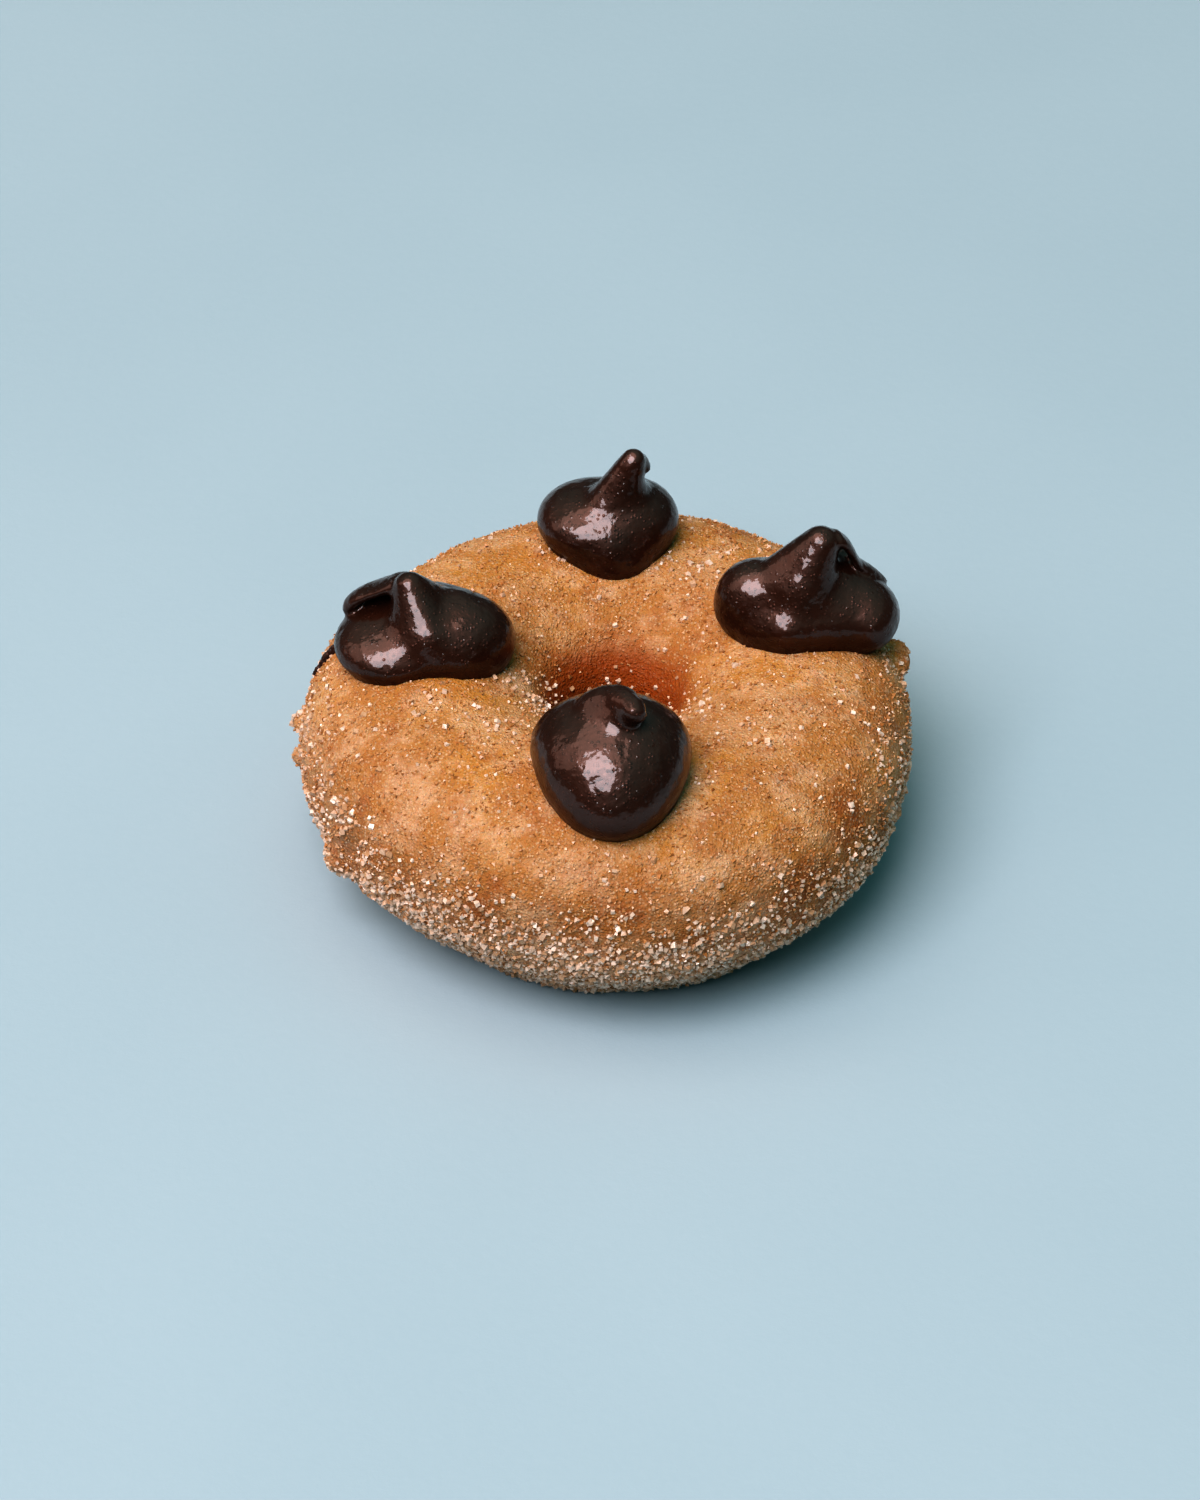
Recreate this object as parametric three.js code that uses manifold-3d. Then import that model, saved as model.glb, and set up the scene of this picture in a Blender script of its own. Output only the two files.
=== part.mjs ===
// A gluten-free ring doughnut rolled in cinnamon sugar, with four drops of chocolate ganache piped on top.
// Millimetres, +Z up. The doughnut rests on z = 0, its hole runs along z and its front faces -Y.
import * as THREE from "three";
import { mergeVertices } from "three/addons/utils/BufferGeometryUtils.js";
import Module from "manifold-3d";

const wasm = await Module();
wasm.setup();

// The ring
const OUTER_RADIUS = 42.5;
const CREST_RADIUS = 24.75;
const THROAT_RADIUS = 7.4;
const HEIGHT = 33;
const WAIST_HEIGHT = 19.2;
const FOOT_SINK = 0.9; // how far the round underside is pressed flat by the ring's own weight
const STEPS_AROUND = 72;
const STEPS_ACROSS = 32;
const PLAIN_TURN = 2; // radius of the plain torus, one thick, whose vertices the ring takes

// How full each quarter of the ring's section is: 2 is an ellipse, and more is squarer.
const FULLNESS = { outerTop: 2.5, innerTop: 2.07, innerFoot: 2.2, outerFoot: 2.02 };

// A hand-shaped ring is never a true circle: [waves in a turn, height of the wave, its peak in degrees].
const GIRTH_WAVES = [[1, 0.29, 110], [2, 0.74, -67], [3, 0.86, 97]];
const LEAN_WAVES = [[1, 0.92, -63], [2, 0.15, 160]];

// Soft unevenness of the fried skin: [waves around, waves across, height, phase in degrees].
const SKIN_WAVES = [[5, 2, 0.16, 70], [8, -3, 0.16, 200], [13, 4, 0.1, 20]];

// Places on the ring are given by two angles in degrees. Around runs from the front to the right, and across
// runs over the section from 0 at the waist by 90 at the crest to 180 in the throat.
const DENTS = [
  { around: -71, across: 16, long: 4.5, wide: 1.6, turn: -48, deep: 0.8 },
  { around: -56, across: 2, long: 5.5, wide: 1.7, turn: -64, deep: 1.1 },
  { around: 62, across: 4, long: 7, wide: 3.2, turn: -20, deep: 0.45 },
  { around: 24, across: -28, long: 8, wide: 3.4, turn: 8, deep: 0.4 },
  { around: -28, across: -22, long: 9, wide: 3.8, turn: -10, deep: 0.4 },
  { around: 150, across: 8, long: 8, wide: 3.6, turn: 15, deep: 0.45 },
  { around: -140, across: -6, long: 7, wide: 3.4, turn: 30, deep: 0.45 },
];

// Torn tags and clumps of dough on the side: where, how proud they stand, and half their width and height.
const CRAGS = [
  { around: -90, across: 7, proud: 0.5, wide: 2.0, high: 1.6 },
  { around: -85, across: -2, proud: 0.9, wide: 1.6, high: 1.3 },
  { around: -64, across: -22, proud: 0.6, wide: 3.0, high: 3.0 },
  { around: 105, across: 24, proud: 1.9, wide: 3.0, high: 2.5 },
  { around: 112, across: 13, proud: 0.7, wide: 2.2, high: 1.7 },
];
const CRAG_DETAIL = 3;
const CRAG_SUNK = 1.2; // how far under the skin the middle of a clump lies
const CRAG_KNOBS = [[2.9, 0.11], [5.3, 0.06]]; // how closely the knobs lie, and their height as a share

// The chocolate. A drop is lobes melted into one body, and a tail, the tip that the nozzle drew out. A lobe
// is [x, y, z of its middle, half its width, depth and height], and a stop of the tail is [x, y, z, half its
// width, half its thickness]. All are measured from the seat, the ring's top under the drop's middle.
const CHOCOLATE_GAP = 0.3;
const BODY_DETAIL = 6;
const MELT = 6; // higher keeps the lobes more apart
const TAIL_SIDES = 12;
const TAIL_STEPS = 18;
const TAIL_END_ROUNDNESS = 0.4;

const DROPS = [
  {
    name: "dollop_front",
    seat: [0.2, -26.2],
    lobes: [
      [0.0, 0.8, 3.6, 10.1, 9.8, 7.6],
      [0.2, -2.5, 1.6, 7.2, 8.4, 5.6],
      [-0.5, 3.6, 4.4, 9.2, 5.0, 6.0],
    ],
    tail: [
      [-3.2, 3.4, 8.2, 4.2, 3.6],
      [-1.9, 3.0, 10.5, 3.2, 2.7],
      [0.3, 2.4, 12.3, 2.2, 2.0],
      [2.1, 1.0, 13.2, 1.9, 1.7],
      [3.2, -0.7, 13.2, 1.7, 1.5],
    ],
  },
  {
    name: "dollop_left",
    seat: [-26.2, 2.4],
    lobes: [
      [4.5, -0.5, 0.8, 8.7, 7.4, 6.8],
      [-3.8, -1.1, 0.8, 8.0, 8.0, 4.1],
      [-1.3, 0.7, 4.4, 2.5, 3.5, 6.0],
      [1.1, 1.8, 2.5, 5.3, 6.1, 4.4],
      [-5.2, 4.4, 2.6, 4.4, 2.2, 3.6],
    ],
    tail: [
      [-0.6, 0.8, 7.0, 3.0, 2.4],
      [-1.9, 1.4, 9.2, 2.4, 1.5],
      [-4.0, 2.0, 8.4, 2.2, 0.95],
      [-6.0, 2.6, 7.2, 2.1, 0.8],
      [-8.0, 3.0, 5.9, 2.0, 0.9],
      [-9.5, 3.2, 4.2, 1.9, 1.2],
      [-9.8, 3.3, 2.6, 1.7, 1.3],
    ],
  },
  {
    name: "dollop_right",
    seat: [27.0, 9.4],
    lobes: [
      [0.8, 1.6, 2.4, 8.4, 6.3, 7.2],
      [0.3, 0.4, 1.4, 10.6, 5.4, 4.6],
      [-7.2, 1.0, 3.0, 5.4, 5.4, 6.0],
      [8.2, -0.5, 1.5, 4.7, 5.8, 4.6],
      [0.7, 1.4, 5.7, 3.1, 3.6, 8.8],
      [4.8, 4.8, 5.6, 2.6, 1.7, 3.8],
    ],
    tail: [
      [0.9, 1.2, 10.0, 2.8, 2.8],
      [1.9, 1.4, 12.9, 2.3, 2.1],
      [4.2, 1.6, 13.4, 1.8, 0.9],
      [5.9, 2.0, 11.0, 1.6, 0.65],
      [7.0, 2.6, 8.4, 1.6, 0.65],
      [8.9, 3.2, 6.6, 1.5, 0.7],
      [11.3, 3.9, 4.0, 1.2, 0.7],
    ],
  },
  {
    name: "dollop_back",
    seat: [-0.4, 27.4],
    lobes: [
      [-2.6, 0.7, 3.4, 7.6, 7.8, 4.5],
      [3.3, 1.2, 3.0, 6.8, 6.9, 5.6],
      [2.9, 0.5, 7.2, 2.5, 3.2, 7.2],
      [0.6, -4.0, -0.4, 5.4, 4.5, 4.8],
    ],
    tail: [
      [1.6, 0.5, 8.6, 3.4, 2.6],
      [2.6, 0.8, 11.8, 2.4, 2.1],
      [4.0, 1.6, 13.0, 1.6, 1.4],
      [4.9, 2.5, 11.6, 1.3, 1.1],
      [5.3, 3.0, 10.2, 1.1, 0.9],
    ],
  },
];

// How the ray that finds a body's skin walks in: from how far, in what strides, and how often it is halved.
const RAY_START = 24;
const RAY_STRIDE = 0.5;
const HALVINGS = 24;
const RAY_CENTRE_SHARE = 0.4; // the rays meet this share of the way from the seat to the first lobe

const WELD = 1e-4; // vertices closer than this are one

const dough = new THREE.MeshStandardMaterial({ color: 0xcf9254, roughness: 0.85, metalness: 0 });
const chocolate = new THREE.MeshStandardMaterial({ color: 0x2a1712, roughness: 0.3, metalness: 0 });

const radians = THREE.MathUtils.degToRad;
const clamp = THREE.MathUtils.clamp;

// The sum of a list of waves at an angle in a turn.
function wave(waves, angle) {
  return waves.reduce((sum, [count, height, peak]) => {
    return sum + height * Math.cos(count * angle - radians(peak));
  }, 0);
}

// The number between two that a test turns over at. It is true at the low one and false at the high one.
function turningPoint(low, high, test) {
  for (let i = 0; i < HALVINGS; i++) {
    const middle = (low + high) / 2;
    if (test(middle)) low = middle;
    else high = middle;
  }
  return low;
}

// A point of the section before any unevenness: how far out, and how high.
function sectionPoint(across) {
  const [c, s] = [Math.cos(across), Math.sin(across)];
  const half = c >= 0 ? OUTER_RADIUS - CREST_RADIUS : CREST_RADIUS - THROAT_RADIUS;
  const rise = s >= 0 ? HEIGHT - WAIST_HEIGHT : WAIST_HEIGHT + FOOT_SINK;
  const full = FULLNESS[(c >= 0 ? "outer" : "inner") + (s >= 0 ? "Top" : "Foot")];
  const reach = (Math.abs(c) ** full + Math.abs(s) ** full) ** (-1 / full);
  return [CREST_RADIUS + half * c * reach, WAIST_HEIGHT + rise * s * reach];
}

// How deep the dents are at a place.
function dentDepth(around, across) {
  return DENTS.reduce((depth, dent) => {
    const turn = radians(dent.turn);
    const sideways = Math.sin((around - radians(dent.around)) / 2) * 2 * OUTER_RADIUS;
    const upwards = Math.sin((across - radians(dent.across)) / 2) * 2 * (OUTER_RADIUS - CREST_RADIUS);
    const along = sideways * Math.cos(turn) + upwards * Math.sin(turn);
    const beside = upwards * Math.cos(turn) - sideways * Math.sin(turn);
    return depth + dent.deep * Math.exp(-((along / dent.long) ** 2) - (beside / dent.wide) ** 2);
  }, 0);
}

// How far the skin stands out of the smooth section at a place.
function skinLift(around, across) {
  const swell = SKIN_WAVES.reduce((sum, [turns, rolls, height, phase]) => {
    const shift = radians(phase);
    return sum + height * Math.sin(turns * around + shift) * Math.cos(rolls * across + shift);
  }, 0);
  return swell - dentDepth(around, across);
}

// The point of the ring's surface at two angles in radians, grown outwards by a few tenths where asked.
// The unevenness fades out towards the throat, where the turns lie close together.
function ringPoint(around, across, grow = 0) {
  const [reach, height] = sectionPoint(across);
  const openness = clamp((reach - THROAT_RADIUS) / (OUTER_RADIUS - THROAT_RADIUS), 0, 1);
  const lift = skinLift(around, across) * Math.sqrt(openness) + grow;
  const out = reach + wave(GIRTH_WAVES, around) * openness + lift * Math.cos(across);
  const lean = wave(LEAN_WAVES, around) * clamp(height / HEIGHT, 0, 1);
  const up = Math.max(height + lean + lift * Math.sin(across), -grow);
  return new THREE.Vector3(out * Math.sin(around), -out * Math.cos(around), up);
}

// Height of the ring's top over a point of the floor.
function topHeight(x, y) {
  const around = Math.atan2(x, -y);
  const across = turningPoint(0, Math.PI, (angle) => {
    const point = ringPoint(around, angle);
    return Math.hypot(point.x, point.y) > Math.hypot(x, y);
  });
  return ringPoint(around, across).z;
}

// A closed geometry as a solid that can be joined and cut.
function solid(geometry) {
  const bare = geometry.clone();
  bare.deleteAttribute("normal");
  bare.deleteAttribute("uv");
  const merged = mergeVertices(bare, WELD);
  return new wasm.Manifold(new wasm.Mesh({
    numProp: 3,
    vertProperties: new Float32Array(merged.attributes.position.array),
    triVerts: new Uint32Array(merged.index.array),
  }));
}

// A solid back as a named mesh.
function meshOf(shape, name, material) {
  const { vertProperties, triVerts } = shape.getMesh();
  const geometry = new THREE.BufferGeometry();
  geometry.setAttribute("position", new THREE.BufferAttribute(vertProperties, 3));
  geometry.setIndex(new THREE.BufferAttribute(triVerts, 1));
  geometry.computeVertexNormals();
  const mesh = new THREE.Mesh(geometry, material);
  mesh.name = name;
  return mesh;
}

// Moves each vertex of a geometry to where place(vertex) says.
function reshape(geometry, place) {
  const position = geometry.getAttribute("position");
  const vertex = new THREE.Vector3();
  for (let i = 0; i < position.count; i++) {
    vertex.fromBufferAttribute(position, i);
    position.setXYZ(i, ...place(vertex).toArray());
  }
  return geometry;
}

// The bare ring: a torus of the right count of faces, each vertex moved to its own angles on the ring.
function ringGeometry(grow = 0) {
  const torus = new THREE.TorusGeometry(PLAIN_TURN, 1, STEPS_ACROSS, STEPS_AROUND);
  return reshape(torus, (v) => {
    const around = Math.atan2(v.x, -v.y);
    const across = Math.atan2(v.z, Math.hypot(v.x, v.y) - PLAIN_TURN);
    return ringPoint(around, across, grow);
  });
}

// How much further out a clump's skin stands in a direction. Its angles make each clump a different one.
function knobbliness({ x, y, z }, { around, across }) {
  return CRAG_KNOBS.reduce((sum, [closeness, share]) => {
    const rows = Math.sin(closeness * x + around) + Math.sin(closeness * y + across);
    return sum + share * (rows + Math.sin(closeness * z - around));
  }, 1);
}

// A knobbly clump of dough, half sunk in the ring's side.
function cragGeometry(crag) {
  const [around, across] = [radians(crag.around), radians(crag.across)];
  const middle = ringPoint(around, across, -CRAG_SUNK);
  const outward = ringPoint(around, across).sub(middle).normalize();
  const sideways = new THREE.Vector3(Math.cos(around), Math.sin(around), 0);
  const upward = new THREE.Vector3().crossVectors(outward, sideways).normalize();
  return reshape(new THREE.IcosahedronGeometry(1, CRAG_DETAIL), (v) => {
    const share = knobbliness(v, crag);
    return middle.clone()
      .addScaledVector(outward, v.x * share * (crag.proud + CRAG_SUNK))
      .addScaledVector(sideways, v.y * share * crag.wide)
      .addScaledVector(upward, v.z * share * crag.high);
  });
}

// How far a point lies outside the melted lobes, as a share of their size; inside it is negative.
function meltedDistance(point, lobes) {
  const sum = lobes.reduce((total, [x, y, z, wide, deep, high]) => {
    const share = Math.hypot((point.x - x) / wide, (point.y - y) / deep, (point.z - z) / high);
    return total + Math.exp(-MELT * (share - 1));
  }, 0);
  return -Math.log(sum) / MELT;
}

// The body of a drop: each vertex of a ball walks in from outside until it meets the melted lobes. The ball
// is first drawn out to the body's own proportions, so that its long ends get as fine a mesh as its sides.
function bodyGeometry(lobes) {
  const [x, y, z] = lobes[0];
  const middle = new THREE.Vector3(x * RAY_CENTRE_SHARE, y * RAY_CENTRE_SHARE, z);
  const size = new THREE.Vector3(
    Math.max(...lobes.map((lobe) => Math.abs(lobe[0]) + lobe[3])),
    Math.max(...lobes.map((lobe) => Math.abs(lobe[1]) + lobe[4])),
    Math.max(...lobes.map((lobe) => lobe[5])),
  );
  return reshape(new THREE.IcosahedronGeometry(1, BODY_DETAIL), (v) => {
    const way = v.clone().multiply(size).normalize();
    const point = (reach) => way.clone().multiplyScalar(reach).add(middle);
    const inside = (reach) => meltedDistance(point(reach), lobes) <= 0;
    let reach = RAY_START;
    while (reach > RAY_STRIDE && !inside(reach)) reach -= RAY_STRIDE;
    return point(turningPoint(reach, reach + RAY_STRIDE, inside));
  });
}

// The drawn-out tail: a ball stretched along the curve through its stops, lying in one upright plane.
function tailGeometry(stops) {
  const places = stops.map(([x, y, z]) => new THREE.Vector3(x, y, z));
  const widths = stops.map(([, , , wide, thick]) => new THREE.Vector3(wide, thick, 0));
  const path = new THREE.CatmullRomCurve3(places);
  const girth = new THREE.CatmullRomCurve3(widths);
  const heading = path.getPoint(1).sub(path.getPoint(0));
  const side = new THREE.Vector3(-heading.y, heading.x, 0).normalize();
  return reshape(new THREE.SphereGeometry(1, TAIL_SIDES, TAIL_STEPS), (v) => {
    const along = (1 - v.y) / 2;
    const taper = Math.hypot(v.x, v.z) ** (TAIL_END_ROUNDNESS - 1);
    const over = new THREE.Vector3().crossVectors(path.getTangent(along), side).normalize();
    const { x: wide, y: thick } = girth.getPoint(along);
    const centre = path.getPoint(along);
    if (!Number.isFinite(taper)) return centre;
    return centre.addScaledVector(side, v.x * taper * wide).addScaledVector(over, v.z * taper * thick);
  });
}

function makeRing() {
  const ring = CRAGS.reduce((shape, crag) => shape.add(solid(cragGeometry(crag))), solid(ringGeometry()));
  return meshOf(ring, "ring", dough);
}

function makeDrop({ name, seat: [x, y], lobes, tail }) {
  const whole = solid(bodyGeometry(lobes)).add(solid(tailGeometry(tail)));
  const seated = whole.translate([x, y, topHeight(x, y)]);
  return meshOf(seated.subtract(solid(ringGeometry(CHOCOLATE_GAP))), name, chocolate);
}

// Moves the meshes so that the origin lies under the middle of the whole.
function centred(meshes) {
  const box = meshes.reduce((whole, mesh) => whole.expandByObject(mesh), new THREE.Box3());
  const middle = box.getCenter(new THREE.Vector3());
  meshes.forEach((mesh) => mesh.geometry.translate(-middle.x, -middle.y, -box.min.z));
  return meshes;
}

const doughnut = new THREE.Group();
doughnut.name = "doughnut";
doughnut.add(...centred([makeRing(), ...DROPS.map(makeDrop)]));

export default doughnut;
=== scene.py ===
import math

import bmesh
import bpy
import numpy as np
from bpy.props import FloatProperty, FloatVectorProperty, IntProperty, PointerProperty
from mathutils import Matrix, Vector
from mathutils.bvhtree import BVHTree


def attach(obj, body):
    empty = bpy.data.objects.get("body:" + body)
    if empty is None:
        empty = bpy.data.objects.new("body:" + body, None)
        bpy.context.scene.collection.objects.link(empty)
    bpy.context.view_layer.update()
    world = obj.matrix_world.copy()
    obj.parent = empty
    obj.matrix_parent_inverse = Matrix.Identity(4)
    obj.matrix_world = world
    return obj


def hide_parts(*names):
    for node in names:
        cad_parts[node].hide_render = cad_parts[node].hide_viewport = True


bl_info = {
    "name": "Cinnamon Sugar Doughnut",
    "version": (1, 0, 0),
    "blender": (4, 5, 0),
    "location": "View3D > Sidebar > Doughnut",
    "description": "Dresses a ring doughnut with fried crust, cinnamon sugar and piped chocolate drops",
    "category": "Mesh",
}

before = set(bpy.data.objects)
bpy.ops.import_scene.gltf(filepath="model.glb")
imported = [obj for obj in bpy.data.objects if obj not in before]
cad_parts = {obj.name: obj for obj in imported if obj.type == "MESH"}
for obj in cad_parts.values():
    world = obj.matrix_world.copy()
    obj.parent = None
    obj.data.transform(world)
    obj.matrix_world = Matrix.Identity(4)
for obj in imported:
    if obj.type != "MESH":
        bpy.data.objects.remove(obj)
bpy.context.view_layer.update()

MM = 0.001
WELD = 0.001 * MM

# The hole's middle, how far from it the throat's mouth and wall lie, and the heights that the throat
# deepens between.
HOLE_X = 0.71 * MM
HOLE_Y = -0.17 * MM
THROAT_MOUTH = 17 * MM
THROAT_WALL = 8 * MM
THROAT_TOP = 31 * MM
THROAT_LOW = 25 * MM

# The CAD node that each chocolate piece stands for.
DROPS = {
    "drop_front": "dollop_front",
    "drop_left": "dollop_left",
    "drop_right": "dollop_right",
    "drop_back": "dollop_back",
}

# Ganache that stands up under a drop's tip: groups of balls of [x, y, z, radius] in millimetres, each group
# wrapped in one skin.
TIPS = {
    "drop_front": [
        [[-1.8, -24.8, 41.0, 3.6], [0.8, -25.2, 43.4, 2.6], [3.0, -27.0, 45.0, 1.6]],
    ],
    "drop_left": [
        [[-26.6, 2.4, 43.2, 2.3], [-24.0, -1.9, 37.6, 3.6], [-26.2, -1.6, 36.3, 3.4],
         [-22.5, 4.0, 38.0, 3.2]],
    ],
    "drop_right": [
        [[29.4, 10.2, 44.8, 2.7], [26.8, 8.0, 38.6, 4.4], [21.5, 9.5, 37.0, 3.6]],
        [[21.6, 7.6, 33.4, 4.2], [24.7, 4.4, 34.6, 3.4], [33.6, 7.4, 34.0, 4.2], [27.6, 8.8, 37.2, 4.4]],
    ],
    "drop_back": [
        [[3.8, 28.2, 45.8, 1.8], [1.7, 27.2, 40.0, 3.2], [-0.8, 26.4, 36.6, 4.2]],
        [[0.2, 23.8, 34.2, 4.8], [1.4, 26.0, 36.0, 4.5]],
    ],
}

# Threads that ran off a drop or end its tip: stops of [x, y, z, radius] in millimetres.
THREADS = {
    "drop_front": [
        [1.2, -24.4, 45.2, 2.4], [2.7, -25.8, 46.2, 2.1], [3.6, -27.3, 46.5, 1.8],
        [3.9, -28.6, 46.3, 1.6], [4.0, -29.3, 46.2, 0.8]],
    "drop_left": [
        [-35.0, 4.65, 31.6, 1.2], [-37.5, 4.75, 30.7, 0.75], [-38.85, 4.4, 29.4, 0.62],
        [-40.05, 3.9, 27.9, 0.56], [-40.75, 3.5, 27.0, 0.45]],
}

# Where the ganache flows together: x, y, z and reach in millimetres.
MELTS = {
    "drop_front": [0.0, -27.5, 42.6, 6.0],
    "drop_left": [-25.0, -0.5, 37.5, 8.0],
    "drop_right": [27.0, 5.5, 37.0, 10.0],
    "drop_back": [1.0, 24.5, 38.0, 8.5],
}

# Places on the crust: x, y, z and reach in millimetres, and how strongly each shows at its middle. In these
# first ones sugar has gathered.
SUGAR_DRIFTS = [
    [-11.5, -2.0, 30.0, 5.0, 1.0],
    [-8.0, 0.5, 26.0, 4.0, 0.9],
    [-24.0, -11.0, 33.8, 5.0, 0.6],
    [-16.5, -14.0, 33.8, 5.5, 0.7],
    [12.5, -7.0, 30.0, 6.5, 0.65],
    [17.0, -15.0, 32.5, 6.0, 0.6],
    [23.2, -35.2, 25.6, 2.6, 1.0],
    [-38.0, -16.0, 26.0, 4.0, 0.9],
    [-35.5, -21.5, 23.5, 3.6, 0.9],
    [38.5, -12.0, 24.0, 9.0, 0.5],
    [-9.5, -5.0, 29.5, 6.0, 1.0],
    [-39.0, -8.0, 28.0, 8.0, 0.4],
    [14.0, 22.0, 32.0, 9.0, 0.5],
    [40.5, 5.0, 27.0, 4.5, 0.8],
    [-22.0, -35.0, 17.0, 9.0, 0.8],
]

# Where sugar lies too fine to be seen as grains.
FROSTED_PATCHES = [
    [-41.0, -7.0, 24.0, 13.0, 0.9],
    [-36.0, -20.0, 20.0, 9.0, 0.5],
]

# Where the sugared band has gaps; the last one, on the lower right, leaves the dough bare as painted shade
# of that side.
BARE_PATCHES = [
    [-43.0, -8.0, 20.0, 12.0, 0.75],
    [-35.0, -22.0, 18.0, 10.0, 1.0],
    [26.0, -33.5, 17.0, 12.0, 0.7],
]

# Where the dough fried darker; the two on the lower right, at x 32.5 and 25.6, are also painted shade of
# that side.
BROWN_PATCHES = [
    [-16.4, -38.3, 22.0, 8.0, 0.8],
    [-14.4, -38.2, 26.0, 2.6, 0.9],
    [32.5, -26.0, 26.0, 9.0, 1.0],
    [25.6, -33.5, 21.0, 10.0, 1.0],
    [-15.7, -21.4, 33.6, 2.4, 0.6],
    [38.3, -7.0, 28.2, 7.0, 0.5],
    [2.0, -41.0, 24.0, 12.0, 0.8],
    [30.0, 32.0, 24.0, 9.0, 0.6],
    [-26.0, 34.0, 22.0, 9.0, 0.6],
]

# Small lumps of dough on the left edge: x, y, z, reach and height in millimetres.
SWELLS = [
    [-42.0, -1.0, 22.3, 2.4, 1.1],
    [-42.0, -5.4, 19.8, 2.2, 1.3],
    [-36.5, -19.8, 13.4, 3.2, 1.4],
]

# The share of its reach over which the push that seats a drop grows to the full.
SEAT_SLOPE = 0.6

# The sugared band around the foot: the heights that its veil and its grains thin out between, how wide and
# high its edge wanders, and how much higher it lies toward the left.
VEIL_FOOT = 15 * MM
VEIL_TOP = 21 * MM
GRAINS_FOOT = 14 * MM
GRAINS_TOP = 27 * MM
WANDER_WIDTH = 7 * MM
WANDER_HEIGHT = 14 * MM
BAND_TILT = 0.035

# The heights that grains begin between, over a foot that has none.
GRAINS_NONE = 0.5 * MM
GRAINS_FULL = 1.0 * MM

# The heights that the belly's brown deepens between.
BELLY_TOP = 27 * MM
BELLY_LOW = 15 * MM

# The heights that the lower belly is drawn in between, and those that all relief fades out between at the
# foot.
TUCK_TOP = 15 * MM
TUCK_LOW = 5 * MM
RELIEF_LOW = 0.6 * MM
RELIEF_TOP = 3 * MM

# How wide the patterns in the surfaces are.
FIELD_WIDTH = 12 * MM
CLOUD_WIDTH = 5 * MM
MOTTLE_WIDTH = 2.6 * MM
SUGAR_CLOUD_WIDTH = 6 * MM
SUGAR_PATCH_WIDTH = 1.4 * MM
CRUMB_WIDTH = 1.8 * MM
CLUMP_WIDTH = 2.4 * MM
STREAK_WIDTH = 5 * MM
FOLD_WIDTH = 3.2 * MM
RIPPLE_WIDTH = 0.9 * MM
FROST_WIDTH = 0.5 * MM
BARK_WIDTH = 0.3 * MM
TOOTH_WIDTH = 2 * MM
PAPER_CLOUD_WIDTH = 90 * MM

# The width of the dust in the skin as a share of the grains'.
DUST_TO_GRAIN = 0.5

# How deep the bumps in the surfaces are.
CRUMB_DEPTH = 0.3 * MM
GRAIN_DEPTH = 0.12 * MM
DUST_DEPTH = 0.04 * MM
FOLD_DEPTH = 0.3 * MM
RIPPLE_DEPTH = 0.05 * MM
BUBBLE_DEPTH = 0.12 * MM
BEAD_DEPTH = 0.08 * MM
BARK_DEPTH = 0.05 * MM
TOOTH_DEPTH = 0.05 * MM

# How the grains differ: how far their corners are knocked about, one seed for each pattern of knocks, and
# how short and long their sides are.
KNOCK = 0.17
KNOCK_SEEDS = (3, 7, 12, 21)
SHORTEST_SIDE = 0.75
LONGEST_SIDE = 1.2

# How each kind of grain is strewn: its smallest and largest size as shares of its own, its spacing, how
# proud it stands, and how thickly it lies all over, in the band and in the drifts.
STREWING = {
    "sugar_dust": {
        "Smallest": 0.6, "Largest": 1.3, "Spacing": 0.42 * MM, "Proud": 0.1,
        "Everywhere": 0.95, "Band": 0.6, "Drifts": 0.6, "Seed": 5},
    "sugar_fine": {
        "Smallest": 0.7, "Largest": 1.25, "Spacing": 0.4 * MM, "Proud": 0.05,
        "Everywhere": 0.035, "Band": 0.4, "Drifts": 0.5, "Seed": 11},
    "sugar_medium": {
        "Smallest": 0.7, "Largest": 1.2, "Spacing": 0.6 * MM, "Proud": 0.1,
        "Everywhere": 0.025, "Band": 0.9, "Drifts": 0.4, "Seed": 23},
    "sugar_coarse": {
        "Smallest": 0.75, "Largest": 1.15, "Spacing": 1.0 * MM, "Proud": 0.15,
        "Everywhere": 0.015, "Band": 0.7, "Drifts": 0.35, "Seed": 37},
    "cinnamon_specks": {
        "Smallest": 0.6, "Largest": 1.6, "Spacing": 0.6 * MM, "Proud": 0.0,
        "Everywhere": 0.05, "Band": 0.05, "Drifts": 0.05, "Seed": 51},
}

# How high the dim light near the table reaches, from 0 at the table's height to 1 straight up.
HORIZON = 0.15

# Where each light stands: degrees from the camera's side round to the right, degrees up, and metres away.
LIGHTS = {
    "key": (-32, 58, 2.0),
    "window": (-72, 74, 2.2),
    "wall": (-92, 32, 2.2),
}


# Node trees

def socket(sockets, name):
    """The socket of that name that the node uses in its present mode."""
    return next(s for s in sockets if s.enabled and s.name == name)


def feed(tree, value, target):
    """Links a socket to a node's input, or sets the input to a plain value."""
    if isinstance(value, bpy.types.NodeSocket):
        tree.links.new(value, target)
    else:
        target.default_value = value


def add(tree, kind, inputs=None, **settings):
    """Adds a node with its settings, and feeds its inputs by name."""
    node = tree.nodes.new(kind)
    for name, value in settings.items():
        setattr(node, name, value)
    for name, value in (inputs or {}).items():
        feed(tree, value, socket(node.inputs, name))
    return node


def calc(tree, operation, *values, clamp=False):
    """The result of one sum, from up to three numbers."""
    node = tree.nodes.new("ShaderNodeMath")
    node.operation = operation
    node.use_clamp = clamp
    for value, target in zip(values, node.inputs):
        feed(tree, value, target)
    return node.outputs[0]


def fade(tree, value, low, high, start=0.0, end=1.0):
    """A number that turns smoothly from start at low to end at high."""
    inputs = {"Value": value, "From Min": low, "From Max": high, "To Min": start, "To Max": end}
    node = add(tree, "ShaderNodeMapRange", inputs, interpolation_type="SMOOTHSTEP")
    return socket(node.outputs, "Result")


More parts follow.
